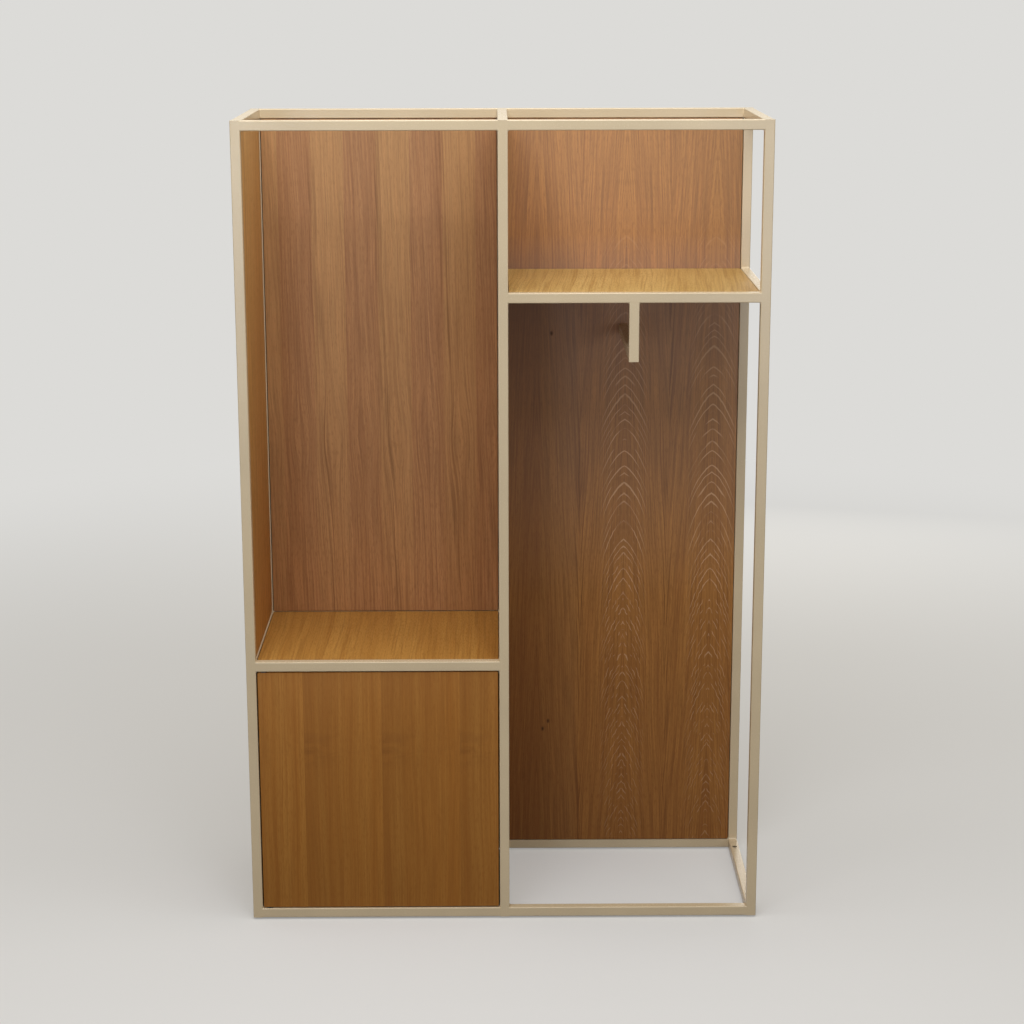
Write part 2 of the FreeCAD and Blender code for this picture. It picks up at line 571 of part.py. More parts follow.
# Nothing is written unless every object and every sub-part is sound
doc.recompute()
for item in doc.Objects:
    if "Invalid" in item.State or "Error" in item.State:
        raise RuntimeError(f"{item.Label} failed")
for item in nodes:
    if item.Shape.isNull() or not item.Shape.isValid():
        raise RuntimeError(f"{item.Label} has no sound shape")

os.makedirs("parts", exist_ok=True)
for item in nodes:
    item.Shape.exportStep(f"parts/{item.Label}.step")
print(f"{len(nodes)} sub-parts written")
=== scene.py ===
"""The looks of the mudroom locker unit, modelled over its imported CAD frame."""

from collections import namedtuple
from math import pi, radians

import bmesh
import bpy
from mathutils import Matrix, Vector


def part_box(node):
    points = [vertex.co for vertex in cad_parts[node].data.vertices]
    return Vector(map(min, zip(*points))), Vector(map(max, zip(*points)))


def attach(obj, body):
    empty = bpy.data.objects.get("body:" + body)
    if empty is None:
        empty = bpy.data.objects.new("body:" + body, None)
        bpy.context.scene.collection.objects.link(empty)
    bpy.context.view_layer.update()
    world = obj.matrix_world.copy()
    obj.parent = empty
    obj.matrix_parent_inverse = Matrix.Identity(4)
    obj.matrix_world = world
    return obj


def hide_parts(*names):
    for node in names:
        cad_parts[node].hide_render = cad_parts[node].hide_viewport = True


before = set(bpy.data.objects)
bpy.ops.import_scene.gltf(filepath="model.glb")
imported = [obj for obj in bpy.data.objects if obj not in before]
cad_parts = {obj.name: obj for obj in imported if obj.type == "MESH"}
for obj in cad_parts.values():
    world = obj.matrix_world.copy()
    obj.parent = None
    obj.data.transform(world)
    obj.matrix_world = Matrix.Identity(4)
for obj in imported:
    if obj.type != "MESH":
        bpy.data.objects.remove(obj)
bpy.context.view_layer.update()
scene = bpy.context.scene
scene.view_settings.view_transform = "Standard"


# ---------------------------------------------------------------- camera, floor and light

# The camera stands where the edges in the photograph put it, in metres and degrees.
CAMERA_PLACE = (-0.01558, -4.62625, 1.9458)
CAMERA_TURN, CAMERA_DIP, CAMERA_ROLL = -0.419, 13.512, -0.107

camera_data = bpy.data.cameras.new("camera")
camera_data.lens = 79.2
camera_data.sensor_width = 36.0
camera = bpy.data.objects.new("camera", camera_data)
camera.matrix_world = (
    Matrix.Translation(CAMERA_PLACE)
    @ Matrix.Rotation(radians(CAMERA_TURN), 4, "Z")
    @ Matrix.Rotation(radians(90 - CAMERA_DIP), 4, "X")
    @ Matrix.Rotation(radians(CAMERA_ROLL), 4, "Z")
)
scene.collection.objects.link(camera)
scene.camera = camera


def srgb(code):
    """A hex colour as linear red, green, blue and alpha."""
    levels = [int(code[i : i + 2], 16) / 255 for i in (1, 3, 5)]
    return [v / 12.92 if v <= 0.04045 else ((v + 0.055) / 1.055) ** 2.4 for v in levels] + [1.0]


def add(tree, kind, inputs=None, **settings):
    """A node with its settings and links.

    An input is a value, a socket, or a node, whose first live output is then linked."""
    node = tree.nodes.new("ShaderNode" + kind)
    for name, setting in settings.items():
        setattr(node, name, setting)
    for name, source in (inputs or {}).items():
        if isinstance(name, str):
            socket = next(s for s in node.inputs if s.enabled and s.name == name)
        else:
            socket = node.inputs[name]
        if isinstance(source, bpy.types.Node):
            source = next(s for s in source.outputs if s.enabled)
        if isinstance(source, bpy.types.NodeSocket):
            tree.links.new(source, socket)
        else:
            socket.default_value = source
    return node


def new_material(name):
    """A material and its empty node tree."""
    material = bpy.data.materials.new(name)
    material.use_nodes = True
    material.node_tree.nodes.clear()
    return material, material.node_tree


# The floor runs out to the same pale grey as the world, so that no horizon shows.
PALE = srgb("#DCDBD8")
FLOOR_RADIUS = 9.0


def seen_rays(tree):
    """1 for rays that show the background, straight or in metal and glass, and 0 for the rest."""
    path = add(tree, "LightPath")
    seen = add(
        tree,
        "Math",
        {0: path.outputs["Is Camera Ray"], 1: path.outputs["Is Glossy Ray"]},
        operation="MAXIMUM",
    )
    return add(
        tree, "Math", {0: seen, 1: path.outputs["Is Transmission Ray"]}, operation="MAXIMUM"
    )


world = bpy.data.worlds.new("studio")
world.use_nodes = True
tree = world.node_tree
tree.nodes.clear()
scene.world = world
fill = add(tree, "Background", {"Color": srgb("#FFF1D8"), "Strength": 0.27})
backdrop = add(tree, "Background", {"Color": PALE, "Strength": 1.0})
sky = add(tree, "MixShader", {0: seen_rays(tree), 1: fill, 2: backdrop})
add(tree, "OutputWorld", {"Surface": sky})

floor_paint, tree = new_material("matt studio floor")
spot = add(tree, "TexCoord")
away = add(tree, "VectorMath", {0: spot.outputs["Object"]}, operation="LENGTH")
far = add(
    tree,
    "MapRange",
    {"Value": away.outputs["Value"], "From Min": 0.8, "From Max": 4.5, "To Min": 0.35},
    interpolation_type="SMOOTHSTEP",
)
near_floor = add(tree, "BsdfDiffuse", {"Color": srgb("#E8E7E4")})
far_floor = add(tree, "Emission", {"Color": PALE, "Strength": 1.0})
pale_floor = add(tree, "MixShader", {0: far, 1: near_floor, 2: far_floor})
# Light that the floor throws back on the object is that of a darker floor, as round the real one.
dull_floor = add(tree, "BsdfDiffuse", {"Color": srgb("#6A6252")})
whole_floor = add(tree, "MixShader", {0: seen_rays(tree), 1: dull_floor, 2: pale_floor})
add(tree, "OutputMaterial", {"Surface": whole_floor})

bpy.ops.object.select_all(action="DESELECT")
bpy.ops.mesh.primitive_circle_add(
    vertices=96, radius=FLOOR_RADIUS, fill_type="NGON", location=(0, 0, 0)
)
floor = bpy.context.object
floor.name = "studio_floor"
floor.data.materials.append(floor_paint)


def soft_light(place, tilt, turn, size, power, code):
    """A broad soft lamp, tilted by some degrees from straight down and then turned."""
    bpy.ops.object.light_add(
        type="AREA", location=place, rotation=(radians(tilt), 0, radians(turn))
    )
    lamp = bpy.context.object.data
    lamp.shape = "RECTANGLE"
    lamp.size, lamp.size_y = size
    lamp.energy = power
    lamp.color = srgb(code)[:3]


# One lamp is high in front, and one overhead makes the tops brightest.
soft_light((-0.25, -1.9, 3.2), tilt=38, turn=0, size=(2.0, 1.0), power=37, code="#F4F7FF")
soft_light((0.0, -0.35, 3.3), tilt=6, turn=0, size=(2.4, 1.2), power=36, code="#F8FBFF")
# Weak ones on either side in front light the hanging bay.
soft_light((-3.0, -3.4, 1.7), tilt=84, turn=-42, size=(1.4, 1.4), power=10, code="#FFFFFF")
soft_light((3.0, -3.4, 1.7), tilt=84, turn=42, size=(1.4, 1.4), power=10, code="#FFFFFF")
# Two beside the camera lie as a sheen on the upper posts.
soft_light((-1.4, -4.9, 1.0), tilt=90, turn=-16, size=(0.8, 1.4), power=22, code="#DDE8FF")
soft_light((1.4, -4.9, 1.0), tilt=90, turn=16, size=(0.8, 1.4), power=16, code="#DDE8FF")
# One lights the rear.
soft_light((0.9, 3.6, 0.9), tilt=90, turn=165, size=(2.4, 1.3), power=26, code="#FFFAF0")


# ---------------------------------------------------------------- finishes

# Sizes of the patterns, in metres. The peel of a powder coat is about 1 mm across and the spark
# texture of a mould 0.1 mm, and both are drawn larger so that they show.
PEEL, COAT_CLOUD = 0.0025, 0.18
ZINC_BLOTCH = 0.006
SPARK = 0.0008


def powder_coat(name, code):
    """Polyester powder coat on steel: satin, with a faint orange peel and little change of tone."""
    material, tree = new_material(name)
    spot = add(tree, "TexCoord").outputs["Object"]
    peel = add(tree, "TexNoise", {"Vector": spot, "Scale": 1 / PEEL, "Detail": 2.0})
    cloud = add(tree, "TexNoise", {"Vector": spot, "Scale": 1 / COAT_CLOUD, "Detail": 3.0})
    tone = add(
        tree,
        "MapRange",
        {"Value": cloud, "From Min": 0.3, "From Max": 0.7, "To Min": 0.93, "To Max": 1.02},
    )
    colour = add(tree, "VectorMath", {0: srgb(code)[:3], "Scale": tone}, operation="SCALE")
    gloss = add(tree, "MapRange", {"Value": peel, "To Min": 0.2, "To Max": 0.32})
    relief = add(tree, "Bump", {"Strength": 0.12, "Distance": 0.0003, "Height": peel})
    coat = add(
        tree,
        "BsdfPrincipled",
        {"Base Color": colour, "Roughness": gloss, "Normal": relief, "IOR": 1.5},
    )
    add(tree, "OutputMaterial", {"Surface": coat})
    return material


def plated_steel(name, code):
    """Zinc-plated steel: a cool grey metal, a little blotched by the plating bath."""
    material, tree = new_material(name)
    spot = add(tree, "TexCoord").outputs["Object"]
    blotch = add(tree, "TexNoise", {"Vector": spot, "Scale": 1 / ZINC_BLOTCH, "Detail": 4.0})
    tone = add(
        tree,
        "MapRange",
        {"Value": blotch, "From Min": 0.3, "From Max": 0.7, "To Min": 0.8, "To Max": 1.05},
    )
    colour = add(tree, "VectorMath", {0: srgb(code)[:3], "Scale": tone}, operation="SCALE")
    gloss = add(tree, "MapRange", {"Value": blotch, "To Min": 0.28, "To Max": 0.5})
    metal = add(
        tree, "BsdfPrincipled", {"Base Color": colour, "Metallic": 1.0, "Roughness": gloss}
    )
    add(tree, "OutputMaterial", {"Surface": metal})
    return material


def moulded_nylon(name, code):
    """Moulded nylon: near black, matt, with the fine spark texture of its mould."""
    material, tree = new_material(name)
    spot = add(tree, "TexCoord").outputs["Object"]
    spark = add(tree, "TexNoise", {"Vector": spot, "Scale": 1 / SPARK, "Detail": 2.0})
    tone = add(tree, "MapRange", {"Value": spark, "To Min": 0.75, "To Max": 1.25})
    colour = add(tree, "VectorMath", {0: srgb(code)[:3], "Scale": tone}, operation="SCALE")
    relief = add(tree, "Bump", {"Strength": 0.2, "Distance": 0.0001, "Height": spark})
    nylon = add(
        tree,
        "BsdfPrincipled",
        {"Base Color": colour, "Roughness": 0.55, "Normal": relief, "IOR": 1.53},
    )
    add(tree, "OutputMaterial", {"Surface": nylon})
    return material


# How a panel is turned so that X runs across its grain and Y along it.
FACING_FRONT = (radians(-90), 0, 0)
FACING_SIDE = (radians(-90), radians(-90), 0)
LYING = (0, 0, 0)
LYING_SLANTED = (0, 0, radians(4))

# What the figure of a veneer goes by: millimetres across and along the panel, millimetres across
# the leaf itself, the leaf's number and the growth rings.
Leaf = namedtuple("Leaf", "across along inner number rings")


def oak_veneer(name, turn, origin, width, book, lean, hexes, streak, figure=None, eyes=None):
    """Lacquered oak veneer in leaves of one width (mm), laid side by side or opened like a book.

    Gives soft bands along the grain, thin darker lines, streaks of a given strength and short open
    pores, under a satin film. The grain of a leaf leans by a few degrees from its edges, and may
    open round a row of eyes at one height."""
    material, tree = new_material(name)
    deep, middle, pale = (srgb(code) for code in hexes)
    place = add(
        tree,
        "Mapping",
        {
            "Vector": add(tree, "TexCoord").outputs["Object"],
            "Rotation": turn,
            "Scale": (1000, 1000, 1000),
            "Location": (-origin[0], -origin[1], 0),
        },
    )
    parts = add(tree, "SeparateXYZ", {"Vector": place})
    across, along = parts.outputs["X"], parts.outputs["Y"]
    count = add(tree, "Math", {0: across, 1: 2 * width if book else width}, operation="DIVIDE")
    count = add(tree, "Math", {0: count, 1: 0.5 if book else 0.0}, operation="ADD")
    number = add(tree, "Math", {0: count}, operation="FLOOR")
    fold = "PINGPONG" if book else "FLOORED_MODULO"
    inner = add(tree, "Math", {0: across, 1: width}, operation=fold)
    # Leaves of one flitch differ a little more with each slice.
    depth = add(tree, "Math", {0: number, 1: 0.2}, operation="MULTIPLY")
    flat = add(tree, "CombineXYZ", {"X": inner, "Y": along, "Z": depth})
    on_leaf = add(tree, "Mapping", {"Vector": flat, "Rotation": (0, 0, radians(lean))})

    # The grain wanders a few millimetres from straight over the height of a panel.
    far = add(tree, "Mapping", {"Vector": on_leaf, "Scale": (1 / 90, 1 / 380, 1)})
    wander = add(tree, "TexNoise", {"Vector": far, "Scale": 1.0, "Detail": 2.0})
    sway = add(tree, "MapRange", {"Value": wander, "To Min": -9.0, "To Max": 9.0})
    if eyes:
        height, spacing = eyes
        off = add(tree, "Math", {0: along, 1: height}, operation="SUBTRACT")
        off = add(tree, "Math", {0: off}, operation="ABSOLUTE")
        bulge = add(
            tree,
            "MapRange",
            {"Value": off, "From Max": 130.0, "To Min": 7.0, "To Max": 0.0},
            interpolation_type="SMOOTHSTEP",
        )
        wave = add(tree, "Math", {0: inner, 1: 2 * pi / spacing}, operation="MULTIPLY")
        wave = add(tree, "Math", {0: wave}, operation="SINE")
        sway = add(tree, "Math", {0: bulge, 1: wave, 2: sway}, operation="MULTIPLY_ADD")
    moved = add(tree, "CombineXYZ", {"X": sway})
    grain = add(tree, "VectorMath", {0: on_leaf, 1: moved}, operation="ADD")

    # Soft bands about 22 mm wide run the whole height.
    wide = add(tree, "Mapping", {"Vector": grain, "Scale": (1 / 22, 1 / 1300, 1)})
    bands = add(tree, "TexNoise", {"Vector": wide, "Scale": 1.0, "Detail": 2.0})
    tone = add(
        tree,
        "MapRange",
        {"Value": bands, "From Min": 0.28, "From Max": 0.72},
        interpolation_type="SMOOTHSTEP",
    )
    colour = add(tree, "Mix", {"Factor": tone, "A": middle, "B": pale}, data_type="RGBA")

    # Growth rings cut nearly square: lines about 4 mm apart and longer than a hand.
    thin = add(tree, "Mapping", {"Vector": grain, "Scale": (1 / 4, 1 / 260, 3)})
    rings = add(tree, "TexNoise", {"Vector": thin, "Scale": 1.0, "Detail": 2.0})
    lines = add(
        tree,
        "MapRange",
        {"Value": rings, "From Min": 0.4, "From Max": 0.72, "To Max": 0.6},
        interpolation_type="SMOOTHSTEP",
    )
    colour = add(tree, "Mix", {"Factor": lines, "A": colour, "B": deep}, data_type="RGBA")

    # Open pores are 0.3 mm wide; they are drawn 1.7 mm wide and 15 mm long so that they show.
    fine = add(tree, "Mapping", {"Vector": grain, "Scale": (1 / 1.7, 1 / 15, 7)})
    pores = add(tree, "TexNoise", {"Vector": fine, "Scale": 1.0, "Detail": 1.0})
    open_pores = add(
        tree,
        "MapRange",
        {"Value": pores, "From Min": 0.5, "From Max": 0.68, "To Max": 0.42},
        interpolation_type="SMOOTHSTEP",
    )
    colour = add(tree, "Mix", {"Factor": open_pores, "A": colour, "B": deep}, data_type="RGBA")

    # Streaks between the rings are under 1 mm wide; they are drawn 2.4 mm wide so that they show.
    long = add(tree, "Mapping", {"Vector": grain, "Scale": (1 / 2.4, 1 / 140, 5)})
    streaks = add(tree, "TexNoise", {"Vector": long, "Scale": 1.0, "Detail": 1.0})
    shade = add(
        tree,
        "MapRange",
        {
            "Value": streaks,
            "From Min": 0.3,
            "From Max": 0.7,
            "To Min": 1 - streak,
            "To Max": 1 + streak,
        },
    )
    colour = add(tree, "VectorMath", {0: colour, "Scale": shade}, operation="SCALE")

    # Higher up the veneer is painted paler and greyer, a painted sheen where it gets the most
    # light.
    painted_sheen = add(
        tree, "MapRange", {"Value": along, "From Min": 450, "From Max": 1640, "To Max": 0.1}
    )
    painted_sheen_colour = srgb("#C4B29C")
    colour = add(tree, "Mix", {"Factor": painted_sheen, "A": colour, "B": painted_sheen_colour}, data_type="RGBA")
    if figure:
        colour = figure(tree, Leaf(across, along, inner, number, rings), colour)

    gloss = add(tree, "MapRange", {"Value": pores, "To Min": 0.42, "To Max": 0.62})
    relief = add(
        tree, "Bump", {"Strength": 0.25, "Distance": 0.0002, "Height": open_pores}, invert=True
    )
    film = add(
        tree,
        "BsdfPrincipled",
        {
            "Base Color": colour,
            "Roughness": gloss,
            "Normal": relief,
            "IOR": 1.5,
            "Specular IOR Level": 0.2,
        },
    )
    add(tree, "OutputMaterial", {"Surface": film})
    return material


def niche_leaves(tree, leaf, colour):
    """Each leaf is redder and darker on its left half and golden on its right, less so low down."""
    red, golden, ring = srgb("#7A4C32"), srgb("#A98350"), srgb("#5A3420")
    half = add(tree, "MapRange", {"Value": leaf.inner, "From Min": 67.0, "From Max": 73.0})
    tint = add(tree, "Mix", {"Factor": half, "A": red, "B": golden}, data_type="RGBA")
    height = add(
        tree,
        "MapRange",
        {"Value": leaf.along, "From Min": 600, "From Max": 1250, "To Min": 0.1, "To Max": 0.28},
    )
    colour = add(tree, "Mix", {"Factor": height, "A": colour, "B": tint}, data_type="RGBA")
    # A few dark rings start at the middle of the leaf and lean to its right edge on the way down.
    line = add(
        tree,
        "MapRange",
        {"Value": leaf.along, "From Min": 560, "From Max": 1480, "To Min": 104.0, "To Max": 68.0},
    )
    off = add(tree, "Math", {0: leaf.inner, 1: line}, operation="SUBTRACT")
    off = add(tree, "Math", {0: off}, operation="ABSOLUTE")
    near = add(
        tree,
        "MapRange",
        {"Value": off, "From Min": 2.0, "From Max": 14.0, "To Min": 1.0, "To Max": 0.0},
    )
    dark = add(
        tree, "MapRange", {"Value": leaf.rings, "From Min": 0.4, "From Max": 0.62, "To Max": 0.3}
    )
    dark = add(tree, "Math", {0: dark, 1: near}, operation="MULTIPLY")
    return add(tree, "Mix", {"Factor": dark, "A": colour, "B": ring}, data_type="RGBA")


def door_leaves(tree, leaf, colour):
    """Each leaf goes from a darker left edge to a paler right one, with a smoky curl low down."""
    brown, smoky = srgb("#7E4E20"), srgb("#6E431C")
    edge = add(
        tree, "MapRange", {"Value": leaf.inner, "From Max": 150.0, "To Min": 0.3, "To Max": 0.0}
    )
    colour = add(tree, "Mix", {"Factor": edge, "A": colour, "B": brown}, data_type="RGBA")
    spot = add(tree, "CombineXYZ", {"X": leaf.inner, "Y": leaf.along})
    stretch = add(tree, "Mapping", {"Vector": spot, "Scale": (1 / 55, 1 / 22, 1)})
    smoke = add(
        tree, "TexNoise", {"Vector": stretch, "Scale": 1.0, "Detail": 3.0, "Distortion": 1.2}
    )
    curl = add(
        tree, "MapRange", {"Value": smoke, "From Min": 0.42, "From Max": 0.62, "To Max": 0.3}
    )
    off = add(tree, "Math", {0: leaf.along, 1: 380.0}, operation="SUBTRACT")
    off = add(tree, "Math", {0: off}, operation="ABSOLUTE")
    level = add(
        tree,
        "MapRange",
        {"Value": off, "From Min": 8.0, "From Max": 55.0, "To Min": 1.0, "To Max": 0.0},
    )
    beside = add(
        tree,
        "MapRange",
        {"Value": leaf.inner, "From Min": 10.0, "From Max": 90.0, "To Min": 1.0, "To Max": 0.25},
    )
    for factor in (level, beside):
        curl = add(tree, "Math", {0: curl, 1: factor}, operation="MULTIPLY")
    return add(tree, "Mix", {"Factor": curl, "A": colour, "B": smoky}, data_type="RGBA")


def ray_flecks(tree, leaf, colour):
    """Quarter-cut leaves: pale flecks fall away on both sides of each mirror line like feathers."""
    across, along, inner = leaf.across, leaf.along, leaf.inner
    # In the upper half the flecks are long arcs. In the lower half they are closer, waver and
    # break up.
    upper = add(tree, "MapRange", {"Value": along, "From Min": 560, "From Max": 820})
    spot = add(tree, "CombineXYZ", {"X": inner, "Y": along, "Z": leaf.number})
    ripple = add(tree, "TexNoise", {"Vector": spot, "Scale": 1 / 13, "Detail": 1.0})
    reach = add(tree, "MapRange", {"Value": upper, "To Min": 14.0, "To Max": 5.0})
    # A fleck leaves the mirror line at 25 to 50 degrees and grows steeper, so its drop is a curve
    # of the distance.
    start = add(tree, "MapRange", {"Value": upper, "To Min": 1.2, "To Max": 0.5})
    steep = add(tree, "Math", {0: inner, 1: 0.021, 2: start}, operation="MULTIPLY_ADD")
    drop = add(tree, "Math", {0: inner, 1: steep, 2: along}, operation="MULTIPLY_ADD")
    drop = add(tree, "Math", {0: ripple, 1: reach, 2: drop}, operation="MULTIPLY_ADD")
    depth = add(tree, "Math", {0: leaf.number, 1: 0.15}, operation="MULTIPLY")
    feather = add(tree, "CombineXYZ", {"X": inner, "Y": drop, "Z": depth})
    # Flecks are about 2 mm thick, and follow each other every 12 to 35 mm.
    lower_step, upper_step, step_change = 17, 20, 720.0
    uneven = add(tree, "Mapping", {"Vector": feather, "Scale": (1 / 120, 1 / 60, 1)})
    shift = add(tree, "TexNoise", {"Vector": uneven, "Scale": 1.0, "Detail": 1.0})
    above = add(tree, "Math", {0: drop, 1: step_change}, operation="SUBTRACT")
    above = add(tree, "Math", {0: above, 1: 0.0}, operation="MAXIMUM")
    step = add(tree, "Math", {0: drop, 1: 1 / lower_step}, operation="MULTIPLY")
    wider = 1 / upper_step - 1 / lower_step
    step = add(tree, "Math", {0: above, 1: wider, 2: step}, operation="MULTIPLY_ADD")
    step = add(tree, "Math", {0: shift, 1: 1.7, 2: step}, operation="MULTIPLY_ADD")
    away = add(tree, "Math", {0: step, 1: 0.5}, operation="PINGPONG")
    flecks = add(
        tree,
        "MapRange",
        {"Value": away, "From Min": 0.04, "From Max": 0.13, "To Min": 1.0, "To Max": 0.0},
    )
    # They break off after 30 mm or more above, and after 10 mm below.
    gates = []
    for length, least in ((10, 0.47), (36, 0.42)):
        broken = add(tree, "Mapping", {"Vector": feather, "Scale": (1 / length, 1 / 11, 3)})
        gate = add(tree, "TexNoise", {"Vector": broken, "Scale": 1.0, "Detail": 1.0})
        gates.append(
            add(tree, "MapRange", {"Value": gate, "From Min": least, "From Max": least + 0.1})
        )
    gate = add(tree, "Mix", {"Factor": upper, "A": gates[0], "B": gates[1]}, data_type="FLOAT")
    # They keep near the mirror lines, and fade towards the top and the floor and in the half leaf
    # on the left.
    near = add(
        tree,
        "MapRange",
        {"Value": inner, "From Min": 30.0, "From Max": 58.0, "To Min": 0.8, "To Max": 0.0},
        interpolation_type="SMOOTHSTEP",
    )
    low = add(
        tree,
        "MapRange",
        {"Value": along, "From Min": 1000, "From Max": 1440, "To Min": 1.0, "To Max": 0.03},
    )
    faint = add(tree, "MapRange", {"Value": along, "From Min": 50, "From Max": 650, "To Min": 0.6})
    left = add(tree, "MapRange", {"Value": across, "From Min": -110, "From Max": -90})
    for factor in (near, gate, low, faint, left):
        flecks = add(tree, "Math", {0: flecks, 1: factor}, operation="MULTIPLY")

    # Above the shelf the leaves are plainer, and the painted shade below the shelf stops there.
    under_shelf = add(
        tree,
        "MapRange",
        {"Value": along, "From Min": 1300, "From Max": 1400, "To Min": 1.0, "To Max": 0.25},
    )
    # Dark rings gather along the outer edges of the leaves.
    outer = add(tree, "MapRange", {"Value": inner, "From Min": 82.0, "From Max": 94.0})
    dark = add(
        tree, "MapRange", {"Value": leaf.rings, "From Min": 0.5, "From Max": 0.6, "To Max": 0.4}
    )
    for factor in (outer, under_shelf):
        dark = add(tree, "Math", {0: dark, 1: factor}, operation="MULTIPLY")
    # Painted shade by the divider, below the shelf only: the half leaf on the left is duller,
    # and the narrow strip beside it redder.
    divider_shade = add(
        tree,
        "MapRange",
        {"Value": across, "From Min": -110, "From Max": -95, "To Min": 0.22, "To Max": 0.0},
    )
    divider_shade = add(tree, "Math", {0: divider_shade, 1: under_shelf}, operation="MULTIPLY")
    # The strip's redder tone is painted shade as well.
    strip = add(
        tree,
        "MapRange",
        {"Value": across, "From Min": -186, "From Max": -180, "To Min": 0.2, "To Max": 0.0},
    )
    strip = add(tree, "Math", {0: strip, 1: under_shelf}, operation="MULTIPLY")
    # Painted shade: the leaves are darker and redder towards the floor,
    # and greyest in the shelf's shadow just under it.
    foot = add(
        tree,
        "MapRange",
        {"Value": along, "From Min": 50, "From Max": 1000, "To Min": 0.33, "To Max": 0.0},
    )
    grey = add(
        tree, "MapRange", {"Value": along, "From Min": 600, "From Max": 1290, "To Max": 0.27}
    )
    grey = add(tree, "Math", {0: grey, 1: under_shelf}, operation="MULTIPLY")
    # Of these layers, the divider shade, strip, foot and grey ones are painted shade.
    layers = [
        (flecks, "#E2B88C"),
        (dark, "#4E2E18"),
        (divider_shade, "#7C6040"),
        (strip, "#7A4422"),
        (foot, "#6A371E"),
        (grey, "#A7A0A5"),
    ]
    # Three pin knots, each a dark spot a few millimetres across.
    panel = add(tree, "CombineXYZ", {"X": across, "Y": along})
    for x, z in ((-165.4, 309.0), (-177.7, 290.6), (-159.6, 1186.5)):
        off = add(tree, "Mapping", {"Vector": panel, "Location": (-x, -z, 0)})
        off = add(tree, "VectorMath", {0: off, 1: (1.0, 0.6, 1.0)}, operation="MULTIPLY")
        off = add(tree, "VectorMath", {0: off}, operation="LENGTH").outputs["Value"]
        knot = add(
            tree,
            "MapRange",
            {"Value": off, "From Min": 1.2, "From Max": 4.2, "To Min": 0.75, "To Max": 0.0},
        )
        layers.append((knot, "#2E1A10"))
    for share, code in layers:
        colour = add(
            tree, "Mix", {"Factor": share, "A": colour, "B": srgb(code)}, data_type="RGBA"
        )
    return colour


cream = powder_coat("cream polyester powder coat on steel", "#D9C5A1")
zinc = plated_steel("zinc plated steel", "#B9BBBD")
nylon = moulded_nylon("black moulded nylon", "#232324")

niche_oak = oak_veneer(
    "lacquered oak veneer, niche back",
    FACING_FRONT,
    origin=(-476, 0),
    width=139.6,
    book=False,
    lean=-1.5,
    hexes=("#946641", "#B58353", "#BE8D5B"),
    streak=0.16,
    figure=niche_leaves,
    eyes=(955, 69.8),
)
right_oak = oak_veneer(
    "lacquered oak veneer, right back",
    FACING_FRONT,
    origin=(265, 0),
    width=95.7,
    book=True,
    lean=-2.5,
    hexes=("#8E5C2E", "#AD763C", "#BA8243"),
    streak=0.18,
    figure=ray_flecks,
)
door_oak = oak_veneer(
    "lacquered oak veneer, door",
    FACING_FRONT,
    origin=(-415, 0),
    width=161.5,
    book=False,
    lean=0,
    hexes=("#9A6126", "#A56B2B", "#B37B37"),
    streak=0.06,
    figure=door_leaves,
)
side_oak = oak_veneer(
    "lacquered oak veneer, sides",
    FACING_SIDE,
    origin=(0, 0),
    width=90.0,
    book=True,
    lean=1,
    hexes=("#996834", "#C5904A", "#D3A25A"),
    streak=0.12,
)
seat_oak = oak_veneer(
    "lacquered oak veneer, seat",
    LYING,
    origin=(-510, 0),
    width=125.0,
    book=False,
    lean=0,
    hexes=("#926229", "#AD7A37", "#B98842"),
    streak=0.05,
)
shelf_oak = oak_veneer(
    "lacquered oak veneer, shelf",
    LYING_SLANTED,
    origin=(10, 0),
    width=125.0,
    book=False,
    lean=0,
    hexes=("#956D36", "#B89254", "#C29E60"),
    streak=0.04,
)


# ---------------------------------------------------------------- pieces

# A board's corners are rounded to clear the welds, and its edges are eased.
BOARD_CORNER, BOARD_EASING = 0.003, 0.0007


def pick(piece, kind, chosen):
    """Selects the piece's faces or edges that are chosen, and leaves it in edit mode."""
    bpy.ops.object.mode_set(mode="EDIT")
    bpy.ops.mesh.select_mode(type=kind)
    bpy.ops.mesh.select_all(action="DESELECT")
    shape = bmesh.from_edit_mesh(piece.data)
    for part in shape.faces if kind == "FACE" else shape.edges:
        if chosen(part):
            part.select_set(True)
    bmesh.update_edit_mesh(piece.data)


def settle(piece, name, body, finish):
    """Names a finished piece, gives it its finish and lets it ride on its body."""
    bpy.ops.object.mode_set(mode="OBJECT")
    bpy.ops.object.transform_apply(location=True, rotation=True, scale=True)
    bpy.ops.object.shade_smooth_by_angle(angle=radians(35))
    piece.name = piece.data.name = name
    piece.data.materials.clear()
    piece.data.materials.append(finish)
    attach(piece, body)


def board(node, body, finish):
    """A veneered board in the place of its CAD node, with rounded corners and eased edges."""
    low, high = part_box(node)
    size = high - low
    thin = min(range(3), key=lambda axis: size[axis])
    bpy.ops.object.select_all(action="DESELECT")
    bpy.ops.mesh.primitive_cube_add(size=1, location=(low + high) / 2, scale=size)
    piece = bpy.context.object
    bpy.ops.object.transform_apply(location=True, rotation=True, scale=True)
    half = size[thin] / 2
    pick(piece, "EDGE", lambda edge: abs((edge.verts[0].co - edge.verts[1].co)[thin]) > half)
    bpy.ops.mesh.bevel(offset=BOARD_CORNER, segments=5, affect="EDGES")
    pick(piece, "EDGE", lambda edge: edge.calc_face_angle() > radians(60))
    bpy.ops.mesh.bevel(offset=BOARD_EASING, segments=2, affect="EDGES")
    name = node.replace("panel", "board") if "panel" in node else node + "_board"
    settle(piece, name, body, finish)
    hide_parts(node)


